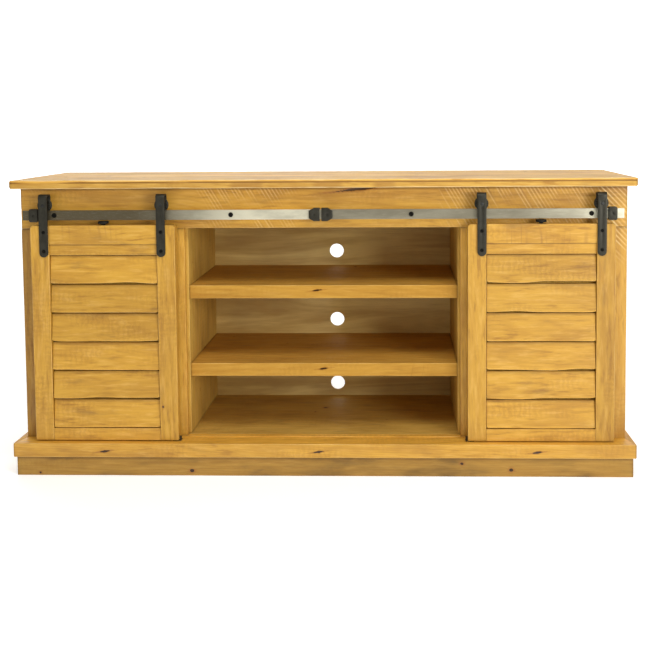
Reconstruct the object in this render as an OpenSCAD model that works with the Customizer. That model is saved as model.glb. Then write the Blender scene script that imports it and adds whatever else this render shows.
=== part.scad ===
// Rustic TV stand with two louvred sliding barn doors over a three-bay cabinet.
// +X is the stand's right as seen from the front, +Y is towards its back, +Z is up.
// The origin is on the floor, at the centre of the stand's footprint.

/* [Overall] */
// Length of the top
top_w = 1778; // [1500:1:2000]
// Depth from the front of the base ledge to the back of the top
total_d = 508; // [460:1:600]
// Height from the floor to the upper face of the top
total_h = 845; // [760:1:900]
// Thickness of the top planks
top_t = 25; // [20:1:40]
// How far the top stands past each side panel
top_side_overhang = 23; // [10:1:60]
// How far the top stands past the face frame
top_front_overhang = 36; // [20:1:60]
// How far the top stands past the back sheet
top_back_overhang = 4; // [0:1:20]

/* [Base] */
// Height of the recessed plinth
plinth_h = 55; // [40:1:80]
// Thickness of the plinth boards
plinth_t = 20; // [15:1:30]
// How far the plinth is set back below the ledge
plinth_setback = 7; // [4:1:20]
// Thickness of the base ledge board
ledge_t = 40; // [25:1:50]
// How far the ledge stands out in front of the face frame
ledge_front = 64; // [50:1:80]
// How far the ledge stands out past each side panel
ledge_side = 18; // [10:1:22]

/* [Carcass] */
// Thickness of side panels, dividers and bottom panel
panel_t = 19; // [16:1:25]
// Thickness of the face frame boards
frame_t = 20; // [16:1:25]
// Width of the outer stiles
outer_stile_w = 65; // [50:1:90]
// Width of the centre stiles
centre_stile_w = 64; // [50:1:90]
// Width of the open centre bay between its stiles
opening_w = 790; // [700:1:800]
// Height of the opening's lower edge above the floor
opening_z0 = 98; // [96:1:110]
// Height of the header's lower edge above the floor
opening_z1 = 704; // [650:1:705]
// How far each divider shows past its centre stile
divider_lip = 7; // [0:1:12]
// Thickness of the back sheet
back_t = 9; // [6:1:12]
// Radius of the cable holes
cable_hole_r = 23; // [20:1:30]
// Distance of the cable holes to the right of the centre line
cable_hole_x = 15; // [0:1:30]

/* [Shelves] */
// Thickness of the two centre shelves
shelf_t = 38; // [25:1:45]
// Height of the upper centre shelf's top face
upper_shelf_z = 535; // [500:1:560]
// Height of the lower centre shelf's top face
lower_shelf_z = 307; // [280:1:330]
// Height of the side bay shelves' top faces
side_shelf_z = 410; // [380:1:440]
// Radius of the pins that hold the side bay shelves
pin_r = 3; // [2.5:0.5:4]

/* [Doors] */
// Width of each door
door_w = 412; // [405:1:415]
// Distance of each parked door's inner edge from the centre line
door_inner_x = 413; // [410:1:420]
// Height of the doors' top edge above the floor
door_z1 = 717; // [710:1:720]
// Gap between the doors and the base ledge
door_gap_z = 3; // [2.5:0.5:6]
// Thickness of the door frames
door_t = 30; // [24:1:30]
// Distance from the face frame to the doors' front face
door_front = 43; // [42:1:46]
// Width of the door stiles
door_stile_w = 52; // [45:1:60]
// Height of the door's top rail
door_top_rail_h = 85; // [75:1:95]
// Height of the step along the top rail's lower edge
door_step_h = 31; // [20:1:40]
// Depth of the step along the top rail's lower edge
door_step_depth = 4; // [1:0.5:5]
// Height of the door's bottom rail
door_bottom_rail_h = 35; // [30:1:45]
// Number of louvre slats in each door
louvres = 6; // [4:1:8]
// Thickness of each slat, measured front to back
louvre_t = 10; // [8:1:12]
// Setback of a slat's lower front edge from the door's front
louvre_setback = 1.5; // [1:0.5:4]
// How far a slat leans back over its height
louvre_lean = 8; // [4:1:9]
// Thickness of the backing sheet
backer_t = 5; // [3:0.5:6]

/* [Rail] */
// Height of the rail bar
rail_h = 28; // [25:1:32]
// Thickness of the rail bar
rail_t = 6; // [5:1:8]
// Height of the rail's lower edge above the floor
rail_z0 = 731; // [729:1:734]
// Gap between the rail and the face frame
rail_standoff = 25; // [22:1:28]
// Length of each half of the rail
rail_half_l = 850; // [845:1:862]
// Distance of the inner rail bolts from the centre line
rail_bolt_x_in = 255; // [240:1:280]
// Distance of the outer rail bolts from the centre line
rail_bolt_x_out = 759; // [740:1:775]
// Radius of the rail bolts' shanks
rail_bolt_r = 4; // [3:0.5:5]
// Width of each centre stop
centre_stop_w = 31; // [25:1:35]
// Gap between the two centre stops
centre_stop_gap = 5; // [4:1:10]
// Width of each end stop
end_stop_w = 25; // [22:1:30]
// Distance of each end stop's inner face from the centre line
end_stop_x = 804.5; // [804:0.5:808]
// Height of the stops
stop_h = 37; // [36:1:38]

/* [Hangers] */
// Width of the strap hangers
strap_w = 25; // [24:1:32]
// Thickness of the strap hangers
strap_t = 4; // [3:0.5:5]
// Height of the hangers' top above the floor
strap_z1 = 805; // [802:1:812]
// Height of the hangers' rounded lower end above the floor
strap_z0 = 627; // [625:1:640]
// Distance of the hangers' centre lines from the door's edges
strap_inset = 39; // [36:1:41]
// Radius of the hanger screws' shanks
strap_screw_r = 2.5; // [2:0.5:3]
// Radius of the wheel's flanges
wheel_flange_r = 19.5; // [18:0.5:20]
// Radius at the bottom of the wheel's groove
wheel_groove_r = 14.5; // [13:0.5:15.5]
// Width of the wheel
wheel_w = 12; // [11:0.5:13]
// Width of the wheel's groove at its bottom
groove_w = 7.5; // [7:0.25:8]
// Radius of the axle
axle_r = 5; // [4:0.5:6]

/* [Hidden] */
$fn = 48;
// Radial clearance of a wheel on its axle
running_gap = 0.06;
// Clearance between a wheel's groove and the top of the rail
wheel_lift = 0.3;
// Clearance around screws in their holes
screw_gap = 0.05;
// Clearance between the doors' slats and the boards around them
slat_gap = 1.5;
// Number of planks in the top, which matches the plank nodes
top_planks = 3;
// Bevel along the long edges of the top planks
plank_bevel = 2;
// Inner radius of the hangers' bends
bend_r = 6;

half_top = top_w/2;
half_body = half_top - top_side_overhang;
half_opening = opening_w/2;
half_ledge = half_body + ledge_side;
half_plinth = half_ledge - plinth_setback;
face_y = -total_d/2 + ledge_front;
back_y = total_d/2 - top_back_overhang;
back_inner_y = back_y - back_t;
top_z0 = total_h - top_t;
top_y0 = face_y - top_front_overhang;
plank_d = (total_d/2 - top_y0)/top_planks;
ledge_z1 = plinth_h + ledge_t;
inner_y = face_y + frame_t;
divider_x = half_opening - divider_lip;
side_bay_x0 = divider_x + panel_t;
side_bay_x1 = half_body - panel_t;
outer_stile_x = half_body - outer_stile_w;
cable_hole_z = [140, 354, 582];
nailer_h = 60;

door_y0 = face_y - door_front;
door_z0 = ledge_z1 + door_gap_z;
door_field_w = door_w - 2*door_stile_w;
louvre_z0 = door_z0 + door_bottom_rail_h;
louvre_z1 = door_z1 - door_top_rail_h;
louvre_pitch = (louvre_z1 - louvre_z0)/louvres;
guide_groove_w = 6;
guide_groove_d = 14;
guide_y = door_y0 + door_t/2;
guide_x = door_inner_x + 6;

rail_y = face_y - rail_standoff - rail_t;
rail_mid_y = rail_y + rail_t/2;
rail_z1 = rail_z0 + rail_h;
rail_mid_z = rail_z0 + rail_h/2;
rail_bolt_x = [-rail_bolt_x_out, -rail_bolt_x_in, rail_bolt_x_in, rail_bolt_x_out];
spacer_r = 8;
bolt_head_r = 7;
bolt_head_t = 4.5;
bolt_tip_y = inner_y - 3;

wheel_z = rail_z1 + wheel_groove_r + wheel_lift;
wheel_x_in = door_inner_x + strap_inset;
wheel_x_out = door_inner_x + door_w - strap_inset;
strap_y = door_y0 - strap_t;
strap_back_y = rail_mid_y + wheel_w/2 + 2;
strap_back_z0 = wheel_z - 12;
strap_screw_z = [644, 698];
jump_disc_r = 15;
jump_disc_post = 4;
jump_disc_h = 7;

pine = "#c99a45";
pine_light = "#dcb878";
pine_inside = "#8a6a35";
steel = "#b4b2a8";
black = "#2b2b2b";

// A box given by its lowest and highest corners
module block(x0, x1, y0, y1, z0, z1) {
    translate([x0, y0, z0]) cube([x1 - x0, y1 - y0, z1 - z0]);
}

// A round rod along +Y, from y0 to y1
module rod_y(x, z, r, y0, y1) {
    translate([x, y0, z]) rotate([-90, 0, 0]) cylinder(r = r, h = y1 - y0);
}

// The same thing on the right (side 1), or mirrored to the left (side -1)
module on_side(side) {
    if (side > 0) children();
    else mirror([1, 0, 0]) children();
}

// ---- Top ----

// One plank of the top, counted from the front, with bevelled long upper edges
module top_plank(i) {
    y0 = top_y0 + i*plank_d;
    color(pine_light) translate([-half_top, 0, 0]) rotate([90, 0, 90])
        linear_extrude(top_w) polygon([
            [y0, top_z0], [y0 + plank_d, top_z0],
            [y0 + plank_d, total_h - plank_bevel], [y0 + plank_d - plank_bevel, total_h],
            [y0 + plank_bevel, total_h], [y0, total_h - plank_bevel]]);
}

// ---- Carcass ----

module side_panel(side) {
    color(pine) on_side(side) difference() {
        block(side_bay_x1, half_body, inner_y, back_y, plinth_h, top_z0);
        block(side_bay_x1 - 1, side_bay_x1 + panel_t/2, back_inner_y, back_y + 1,
            plinth_h - 1, top_z0 + 1);
        shelf_pin_holes(screw_gap);
    }
}

module divider(side) {
    color(pine_inside) on_side(side) difference() {
        block(divider_x, side_bay_x0, inner_y, back_inner_y, opening_z0, top_z0);
        shelf_pin_holes(screw_gap);
    }
}

// Two rows of pins through the walls of a side bay, just under its shelf
module shelf_pin_holes(gap) {
    for (y = [inner_y + 40, back_inner_y - 40], wall = [side_bay_x0, side_bay_x1])
        translate([wall - 8 - gap, y, side_shelf_z - panel_t - pin_r])
            rotate([0, 90, 0]) cylinder(r = pin_r + gap, h = 16 + 2*gap);
}

module bottom_panel() {
    color(pine_inside) block(-side_bay_x1, side_bay_x1, inner_y, back_inner_y,
        opening_z0 - panel_t, opening_z0);
}

module back_panel() {
    color(pine_inside) difference() {
        block(-side_bay_x1 - panel_t/2, side_bay_x1 + panel_t/2, back_inner_y, back_y,
            plinth_h, top_z0);
        for (z = cable_hole_z) rod_y(cable_hole_x, z, cable_hole_r, back_inner_y - 1, back_y + 1);
    }
}

// One length in each bay, under the top
module back_nailer() {
    spans = [[-side_bay_x1, -side_bay_x0], [-divider_x, divider_x], [side_bay_x0, side_bay_x1]];
    color(pine_inside) for (x = spans)
        block(x[0], x[1], back_inner_y - panel_t, back_inner_y, top_z0 - nailer_h, top_z0);
}

module header() {
    color(pine) difference() {
        block(-half_body, half_body, face_y, inner_y, opening_z1, top_z0);
        rail_bolt_holes(face_y - 1, bolt_tip_y);
    }
}

module outer_stile(side) {
    color(pine) on_side(side)
        block(outer_stile_x, half_body, face_y, inner_y, plinth_h, opening_z1);
}

module centre_stile(side) {
    color(pine) on_side(side)
        block(half_opening, half_opening + centre_stile_w, face_y, inner_y, opening_z0, opening_z1);
}

module bottom_rail() {
    color(pine) block(-outer_stile_x, outer_stile_x, face_y, inner_y, plinth_h, opening_z0);
}

module centre_shelf(z1) {
    color(pine) block(-divider_x, divider_x, inner_y, back_inner_y, z1 - shelf_t, z1);
}

module side_shelf(side) {
    color(pine_inside) on_side(side)
        block(side_bay_x0 + 1, side_bay_x1 - 1, inner_y + 20, back_inner_y - 3,
            side_shelf_z - panel_t, side_shelf_z);
}

module shelf_pins() {
    color(steel) for (side = [-1, 1]) on_side(side) shelf_pin_holes(0);
}

// ---- Base ----

// Mitred at both front corners
module ledge_front_board() {
    color(pine) translate([0, 0, plinth_h]) linear_extrude(ledge_t) polygon([
        [-half_ledge, -total_d/2], [half_ledge, -total_d/2],
        [half_body, face_y], [-half_body, face_y]]);
}

module ledge_return(side) {
    color(pine) on_side(side) translate([0, 0, plinth_h]) linear_extrude(ledge_t) polygon([
        [half_ledge, -total_d/2], [half_ledge, back_y], [half_body, back_y], [half_body, face_y]]);
}

module plinth_long(y0) {
    color(pine) block(-half_plinth, half_plinth, y0, y0 + plinth_t, 0, plinth_h);
}

module plinth_end(side) {
    color(pine) on_side(side) block(half_plinth - plinth_t, half_plinth,
        -total_d/2 + plinth_setback + plinth_t, back_y - plinth_t, 0, plinth_h);
}

// Glue blocks in the plinth's inner corners, 10 mm clear of the floor
module plinth_blocks() {
    size = 38;
    color(pine_inside) for (side = [-1, 1]) on_side(side)
        for (y0 = [-total_d/2 + plinth_setback + plinth_t, back_y - plinth_t - size])
            block(half_plinth - plinth_t - size, half_plinth - plinth_t, y0, y0 + size, 10, plinth_h);
}

// ---- Rail ----

module rail_bolt_holes(y0, y1) {
    for (x = rail_bolt_x) rod_y(x, rail_mid_z, rail_bolt_r + screw_gap, y0, y1);
}

module rail_half(side) {
    color(steel) difference() {
        on_side(side) block(0, rail_half_l, rail_y, rail_y + rail_t, rail_z0, rail_z1);
        rail_bolt_holes(rail_y - 1, rail_y + rail_t + 1);
    }
}

module rail_spacers() {
    color(black) difference() {
        for (x = rail_bolt_x) rod_y(x, rail_mid_z, spacer_r, rail_y + rail_t, face_y);
        rail_bolt_holes(rail_y, face_y + 1);
    }
}

// Button heads with a hexagonal socket
module rail_bolts() {
    color(black) for (x = rail_bolt_x) difference() {
        union() {
            rod_y(x, rail_mid_z, rail_bolt_r, rail_y - 1, bolt_tip_y);
            translate([x, rail_y, rail_mid_z]) rotate([90, 0, 0])
                cylinder(r1 = bolt_head_r, r2 = bolt_head_r - 1.5, h = bolt_head_t);
        }
        translate([x, rail_y - bolt_head_t - 1, rail_mid_z]) rotate([-90, 0, 0])
            cylinder(r = 3, h = 3.5, $fn = 6);
    }
}

// A block of width w that wraps the rail, with its outline in X and Z about the rail's middle
module stop_block(w, outline) {
    difference() {
        translate([0, rail_y + rail_t + 3, rail_mid_z]) rotate([90, 0, 0])
            linear_extrude(rail_t + 3 + 7) polygon(outline);
        block(-1, w + 1, rail_y, rail_y + rail_t, rail_z0, rail_z1);
        rod_y(w/2, rail_mid_z, 3, rail_y - 8, rail_y - 4);
    }
}

// Tapered away from the centre line
module centre_stops() {
    h = stop_h/2;
    w = centre_stop_w;
    taper_h = 8;
    taper_w = 14;
    color(black) for (side = [-1, 1]) on_side(side) translate([centre_stop_gap/2, 0, 0])
        stop_block(w, [[0, -h], [w - taper_w, -h], [w, -h + taper_h],
            [w, h - taper_h], [w - taper_w, h], [0, h]]);
}

module end_stops() {
    h = stop_h/2;
    w = end_stop_w;
    cut = 3;
    color(black) for (side = [-1, 1]) on_side(side) translate([end_stop_x, 0, 0])
        stop_block(w, [[cut, -h], [w - cut, -h], [w, -h + cut],
            [w, h - cut], [w - cut, h], [cut, h], [0, h - cut], [0, -h + cut]]);
}

// A fin on a base plate, standing in the groove under each door
module floor_guides() {
    l = 24;
    color(black) for (side = [-1, 1]) on_side(side) translate([guide_x, guide_y, ledge_z1]) {
        translate([-l/2, -10, 0]) cube([l, 20, 2]);
        translate([-l/2, -2, 1]) cube([l, 4, 11]);
    }
}

// ---- Doors: drawn on the right, and mirrored for the left door ----

module guide_groove() {
    block(door_inner_x - 1, door_inner_x + door_w + 1, guide_y - guide_groove_w/2,
        guide_y + guide_groove_w/2, door_z0 - 1, door_z0 + guide_groove_d);
}

module door_stile(side, x0, strap_x) {
    color(pine) on_side(side) difference() {
        block(x0, x0 + door_stile_w, door_y0, door_y0 + door_t, door_z0, door_z1);
        guide_groove();
        for (z = strap_screw_z)
            rod_y(strap_x, z, strap_screw_r + screw_gap, door_y0 - 1, door_y0 + door_t - 6);
    }
}

module door_stile_outer(side) {
    door_stile(side, door_inner_x + door_w - door_stile_w, wheel_x_out);
}

module door_stile_inner(side) {
    door_stile(side, door_inner_x, wheel_x_in);
}

module door_top_rail(side) {
    x0 = door_inner_x + door_stile_w;
    color(pine) on_side(side) difference() {
        block(x0, x0 + door_field_w, door_y0 + 0.5, door_y0 + door_t, louvre_z1, door_z1);
        block(x0 - 1, x0 + door_field_w + 1, door_y0 - 1, door_y0 + door_step_depth,
            louvre_z1 - 1, louvre_z1 + door_step_h);
    }
}

module door_bottom_rail(side) {
    x0 = door_inner_x + door_stile_w;
    color(pine) on_side(side) difference() {
        block(x0, x0 + door_field_w, door_y0 + 0.5, door_y0 + door_t, door_z0, louvre_z0);
        guide_groove();
    }
}

// Leaning slats, each one's lower edge standing forward of the one below
module door_louvres(side) {
    y0 = door_y0 + louvre_setback;
    color(pine) on_side(side) for (i = [0 : louvres - 1])
        translate([door_inner_x + door_stile_w, 0, louvre_z0 + i*louvre_pitch])
            rotate([90, 0, 90]) linear_extrude(door_field_w) polygon([
                [y0, slat_gap], [y0 + louvre_t, slat_gap],
                [y0 + louvre_t + louvre_lean, louvre_pitch - slat_gap],
                [y0 + louvre_lean, louvre_pitch - slat_gap]]);
}

module door_backer(side) {
    x0 = door_inner_x + door_stile_w;
    y1 = door_y0 + door_t - 2;
    color(pine_inside) on_side(side)
        block(x0, x0 + door_field_w, y1 - backer_t, y1, louvre_z0, louvre_z1);
}

// A quarter bend of the strap about a line along X; quadrant turns it about that line
module strap_bend(y, z, quadrant) {
    translate([-strap_w/2, y, z]) rotate([90*quadrant, 0, 0]) intersection() {
        rotate([0, 90, 0]) difference() {
            cylinder(r = bend_r + strap_t, h = strap_w);
            translate([0, 0, -1]) cylinder(r = bend_r, h = strap_w + 2);
        }
        translate([-1, 0, 0]) cube([strap_w + 2, bend_r + strap_t, bend_r + strap_t]);
    }
}

// Front leg down over the door's face, bent over the wheel, and a short leg behind it
module strap_hanger() {
    bend = bend_r + strap_t;
    foot_z = strap_z0 + strap_w/2;
    back_edge = strap_back_y + strap_t;
    difference() {
        union() {
            block(-strap_w/2, strap_w/2, strap_y, door_y0, foot_z, strap_z1 - bend);
            rod_y(0, foot_z, strap_w/2, strap_y, door_y0);
            strap_bend(strap_y + bend, strap_z1 - bend, 1);
            block(-strap_w/2, strap_w/2, strap_y + bend, back_edge - bend, strap_z1 - strap_t, strap_z1);
            strap_bend(back_edge - bend, strap_z1 - bend, 0);
            block(-strap_w/2, strap_w/2, strap_back_y, back_edge, strap_back_z0, strap_z1 - bend);
        }
        rod_y(0, wheel_z, axle_r, strap_y - 1, back_edge + 1);
        for (z = strap_screw_z) rod_y(0, z, strap_screw_r + screw_gap, strap_y - 1, door_y0 + 1);
    }
}

module door_hangers(side) {
    color(black) on_side(side) for (x = [wheel_x_in, wheel_x_out]) translate([x, 0, 0]) strap_hanger();
}

// Low round heads with a hexagonal socket
module door_hanger_screws(side) {
    color(black) on_side(side) for (x = [wheel_x_in, wheel_x_out], z = strap_screw_z) difference() {
        union() {
            rod_y(x, z, strap_screw_r, strap_y - 1, door_y0 + door_t - 7);
            translate([x, strap_y, z]) rotate([90, 0, 0]) cylinder(r1 = 5, r2 = 4, h = 2);
        }
        translate([x, strap_y - 3, z]) rotate([-90, 0, 0]) cylinder(r = 2.2, h = 2.6, $fn = 6);
    }
}

// A shoulder keeps the wheel off the front leg, and a head closes the axle at the back
module door_axles(side) {
    color(steel) on_side(side) for (x = [wheel_x_in, wheel_x_out]) {
        rod_y(x, wheel_z, axle_r, strap_y, strap_back_y + strap_t);
        rod_y(x, wheel_z, axle_r + 2.5, door_y0, rail_mid_y - wheel_w/2 - 0.5);
        rod_y(x, wheel_z, axle_r + 2.5, strap_back_y + strap_t, strap_back_y + strap_t + 3);
    }
}

module door_jump_disc(side) {
    color(black) on_side(side) translate([door_inner_x + door_w/2, rail_mid_y, door_z1]) {
        cylinder(r = 6, h = jump_disc_post);
        translate([0, 0, jump_disc_post]) cylinder(r = jump_disc_r, h = jump_disc_h);
    }
}

// Half of the wheel's section, from its mid-plane out to one face
function wheel_half_section() = [[groove_w/2, wheel_groove_r], [groove_w/2 + 1, wheel_flange_r - 0.6],
    [groove_w/2 + 1.5, wheel_flange_r], [wheel_w/2, wheel_flange_r - 0.5], [wheel_w/2, axle_r + running_gap]];

module wheel(side, x) {
    half = wheel_half_section();
    last = len(half) - 1;
    section = concat(
        [for (p = half) [p[1], p[0]]],
        [for (i = [0 : last]) [half[last - i][1], -half[last - i][0]]]);
    color(steel) on_side(side) translate([x, rail_mid_y, wheel_z]) rotate([90, 0, 0])
        rotate_extrude() polygon(section);
}

top_plank(0);  // top_plank_front
top_plank(1);  // top_plank_middle
top_plank(2);  // top_plank_back
side_panel(-1);  // side_panel_left
side_panel(1);  // side_panel_right
divider(-1);  // divider_left
divider(1);  // divider_right
bottom_panel();
back_panel();
back_nailer();
header();
outer_stile(-1);  // outer_stile_left
outer_stile(1);  // outer_stile_right
centre_stile(-1);  // centre_stile_left
centre_stile(1);  // centre_stile_right
bottom_rail();
centre_shelf(upper_shelf_z);  // shelf_upper
centre_shelf(lower_shelf_z);  // shelf_lower
side_shelf(-1);  // side_shelf_left
side_shelf(1);  // side_shelf_right
shelf_pins();
ledge_front_board();
ledge_return(-1);  // ledge_left
ledge_return(1);  // ledge_right
plinth_long(-total_d/2 + plinth_setback);  // plinth_front
plinth_end(-1);  // plinth_left
plinth_end(1);  // plinth_right
plinth_long(back_y - plinth_t);  // plinth_back
plinth_blocks();
rail_half(-1);  // rail_left
rail_half(1);  // rail_right
rail_spacers();
rail_bolts();
centre_stops();
end_stops();
floor_guides();
door_stile_outer(-1);  // door_left_stile_outer
door_stile_inner(-1);  // door_left_stile_inner
door_top_rail(-1);  // door_left_top_rail
door_bottom_rail(-1);  // door_left_bottom_rail
door_louvres(-1);  // door_left_louvres
door_backer(-1);  // door_left_backer
door_hangers(-1);  // door_left_hangers
door_hanger_screws(-1);  // door_left_hanger_screws
door_axles(-1);  // door_left_axles
door_jump_disc(-1);  // door_left_jump_disc
wheel(-1, wheel_x_out);  // wheel_left_outer
wheel(-1, wheel_x_in);  // wheel_left_inner
door_stile_outer(1);  // door_right_stile_outer
door_stile_inner(1);  // door_right_stile_inner
door_top_rail(1);  // door_right_top_rail
door_bottom_rail(1);  // door_right_bottom_rail
door_louvres(1);  // door_right_louvres
door_backer(1);  // door_right_backer
door_hangers(1);  // door_right_hangers
door_hanger_screws(1);  // door_right_hanger_screws
door_axles(1);  // door_right_axles
door_jump_disc(1);  // door_right_jump_disc
wheel(1, wheel_x_out);  // wheel_right_outer
wheel(1, wheel_x_in);  // wheel_right_inner
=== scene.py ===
import math
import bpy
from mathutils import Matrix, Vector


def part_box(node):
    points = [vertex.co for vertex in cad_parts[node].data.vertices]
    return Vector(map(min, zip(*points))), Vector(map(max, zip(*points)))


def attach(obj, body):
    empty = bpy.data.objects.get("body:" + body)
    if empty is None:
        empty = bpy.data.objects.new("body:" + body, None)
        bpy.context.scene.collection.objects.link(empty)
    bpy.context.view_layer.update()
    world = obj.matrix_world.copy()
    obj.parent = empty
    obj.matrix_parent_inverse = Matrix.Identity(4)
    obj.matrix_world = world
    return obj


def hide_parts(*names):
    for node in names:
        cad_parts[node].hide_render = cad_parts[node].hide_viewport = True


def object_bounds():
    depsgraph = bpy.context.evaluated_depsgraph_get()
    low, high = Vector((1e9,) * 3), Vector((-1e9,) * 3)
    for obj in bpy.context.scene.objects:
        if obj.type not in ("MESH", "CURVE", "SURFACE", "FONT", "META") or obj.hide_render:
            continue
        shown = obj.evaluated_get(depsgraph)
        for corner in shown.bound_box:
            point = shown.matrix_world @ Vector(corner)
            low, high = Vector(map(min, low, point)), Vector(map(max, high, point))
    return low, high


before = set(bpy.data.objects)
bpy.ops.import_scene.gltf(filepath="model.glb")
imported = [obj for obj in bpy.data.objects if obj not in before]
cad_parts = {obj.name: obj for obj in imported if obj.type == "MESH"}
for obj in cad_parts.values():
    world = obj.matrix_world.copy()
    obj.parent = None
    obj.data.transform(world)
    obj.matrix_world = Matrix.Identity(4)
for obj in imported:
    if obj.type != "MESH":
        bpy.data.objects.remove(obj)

import zlib

import bmesh
import bpy
import numpy as np
from mathutils import Matrix, Vector

# Rustic TV stand with two louvred sliding doors: boards, hardware and their finishes, built round
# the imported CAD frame. Everything is in metres in the frame's own axes: the front faces -Y.
#
# Each mesh carries three fields that its finish reads:
#   grain  the point's place in the wood, about the tree's pith
#   marks  the distance to a knot in knot radii, the height of a saw mark, how far round an edge it is
#   tone   paler above 0 and darker below

MM = 0.001
cad_box = [list(corner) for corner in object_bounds()]
CAD_LOW, CAD_HIGH = Vector(cad_box[0]), Vector(cad_box[1])
SIDES = {"left": -1, "right": 1}

NO_KNOT = 6.0            # knot distance at which nothing of a knot shows
NO_PALE_EDGE_TONE = -1.3     # places at least this dark get no pale edges, neither wear nor painted highlight
SLOT_DEPTH = 1.8 * MM
SPLIT_DEPTH = 2.4 * MM
STEP_FROM_LOW = 31 * MM  # height of the lower step along each door's top rail
STEP_DEPTH = 3.5 * MM
GROOVE_WIDTH, GROOVE_DEPTH = 6 * MM, 14 * MM


# ---------------------------------------------------------------- noise

def hash01(ix, iy, iz, seed):
    """A repeatable value from 0 to 1 for each corner of a lattice."""
    h = (ix * 73856093) ^ (iy * 19349663) ^ (iz * 83492791) ^ (seed * 1013904223)
    h &= 0xFFFFFFFF
    h = ((h ^ (h >> 15)) * 2246822519) & 0xFFFFFFFF
    h = ((h ^ (h >> 13)) * 3266489917) & 0xFFFFFFFF
    return ((h ^ (h >> 16)) & 0xFFFFFF) / float(0xFFFFFF)


def noise(x, y=0.0, z=0.0, seed=0):
    """Smooth value noise from 0 to 1 at points given in lattice units."""
    x, y, z = np.broadcast_arrays(*(np.asarray(c, float) for c in (x, y, z)))
    cell = [np.floor(c).astype(np.int64) for c in (x, y, z)]
    f = [c - i for c, i in zip((x, y, z), cell)]
    f = [t * t * (3 - 2 * t) for t in f]
    total = 0.0
    for dx in (0, 1):
        for dy in (0, 1):
            for dz in (0, 1):
                weight = ((f[0] if dx else 1 - f[0]) * (f[1] if dy else 1 - f[1])
                          * (f[2] if dz else 1 - f[2]))
                total = total + weight * hash01(cell[0] + dx, cell[1] + dy, cell[2] + dz, seed)
    return total


def smooth(t, a, b):
    """Eases from 0 at a to 1 at b."""
    t = np.clip((t - a) / (b - a), 0, 1)
    return t * t * (3 - 2 * t)


def seed_of(name):
    return zlib.crc32(name.encode()) & 0xFFFF


# ---------------------------------------------------------------- meshes

def new_mesh(name, points, quads):
    mesh = bpy.data.meshes.new(name)
    mesh.vertices.add(len(points))
    mesh.vertices.foreach_set("co", np.asarray(points, np.float32).ravel())
    mesh.loops.add(4 * len(quads))
    mesh.loops.foreach_set("vertex_index", np.asarray(quads, np.int32).ravel())
    mesh.polygons.add(len(quads))
    mesh.polygons.foreach_set("loop_start", np.arange(0, 4 * len(quads), 4, dtype=np.int32))
    mesh.polygons.foreach_set("use_smooth", np.ones(len(quads), bool))
    mesh.update(calc_edges=True)
    mesh.validate()
    return mesh


def put(name, mesh, body, material, slot, *nodes):
    """Makes the mesh a piece that rides on a body and stands for some CAD nodes."""
    piece = bpy.data.objects.new(name, mesh)
    bpy.context.scene.collection.objects.link(piece)
    mesh.materials.append(material)
    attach(piece, body)
    if nodes:
        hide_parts(*nodes)
    return piece


def box_grid(lines):
    """The closed surface of a box cut by three sets of grid lines: its points and outward quads."""
    last = [len(line) - 1 for line in lines]
    corners, quads, count = [], [], 0
    for axis in range(3):
        u, v = (axis + 1) % 3, (axis + 2) % 3
        for end in (0, 1):
            iu, iv = np.meshgrid(np.arange(last[u] + 1), np.arange(last[v] + 1), indexing="ij")
            c = np.zeros(iu.shape + (3,), np.int64)
            c[..., u], c[..., v], c[..., axis] = iu, iv, end * last[axis]
            ids = count + np.arange(iu.size).reshape(iu.shape)
            q = np.stack([ids[:-1, :-1], ids[1:, :-1], ids[1:, 1:], ids[:-1, 1:]], -1)
            q = q.reshape(-1, 4)
            quads.append(q if end else q[:, ::-1])
            corners.append(c.reshape(-1, 3))
            count += iu.size
    corners = np.concatenate(corners)
    key = (corners[:, 0] << 40) | (corners[:, 1] << 20) | corners[:, 2]
    _, first, inverse = np.unique(key, return_index=True, return_inverse=True)
    corners = corners[first]
    points = np.stack([lines[axis][corners[:, axis]] for axis in range(3)], -1)
    return points, inverse.reshape(-1)[np.concatenate(quads)]


def cuts(half, step, r, extra=()):
    """Grid lines from -half to half: close together where an edge of radius r turns, and in tight
    pairs at the extra places, where the surface is to have a sharp step."""
    near = r * np.array([0, 0.06, 0.25, 0.5, 0.75, 1.0])
    inner = half - r
    count = max(2, int(round(2 * inner / step)))
    lines = np.concatenate([-half + near, np.linspace(-inner, inner, count + 1), half - near])
    for at in extra:
        lines = np.append(lines, [at - 0.01 * MM, at + 0.01 * MM])
    return np.unique(np.round(lines, 7))


def grain_fields(L, W, T, size, seed, knots):
    """Coordinates about a slanting pith line, which make rings and cathedral grain, and the distance
    to the nearest knot. L, W and T run along, across and through the board from its centre."""
    rng = np.random.default_rng(seed)
    side, depth = rng.uniform(-0.35, 0.35), rng.uniform(0.035, 0.11)
    slope_w, slope_t = rng.uniform(-0.02, 0.02), rng.uniform(-0.05, 0.05)
    shift = rng.uniform(0, 40)
    bend = noise(L * 2.3 + shift, seed=seed) - 0.5
    gy = W + side * size[1] + slope_w * L + 0.012 * bend
    gz = T + depth + slope_t * L + 0.01 * (noise(L * 1.7 + shift, 5.5, seed=seed) - 0.5)
    distance = np.full(L.shape, NO_KNOT)
    for at_l, at_w, r in knots:
        dl, dw = (L - at_l) * 0.8, W - at_w
        d = np.sqrt(dl * dl + dw * dw) + 1e-6
        wobble = 1 + 0.25 * (noise(np.arctan2(dw, dl) * 1.5 + at_l * 50, at_w * 90, seed=seed) - 0.5)
        distance = np.minimum(distance, d / (r * wobble))
        gy = gy + np.sign(dw) * 1.4 * r * np.exp(-(d / (2.6 * r)) ** 2)
    return np.stack([L + shift, gy, gz], -1), np.minimum(distance, NO_KNOT)


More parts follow.
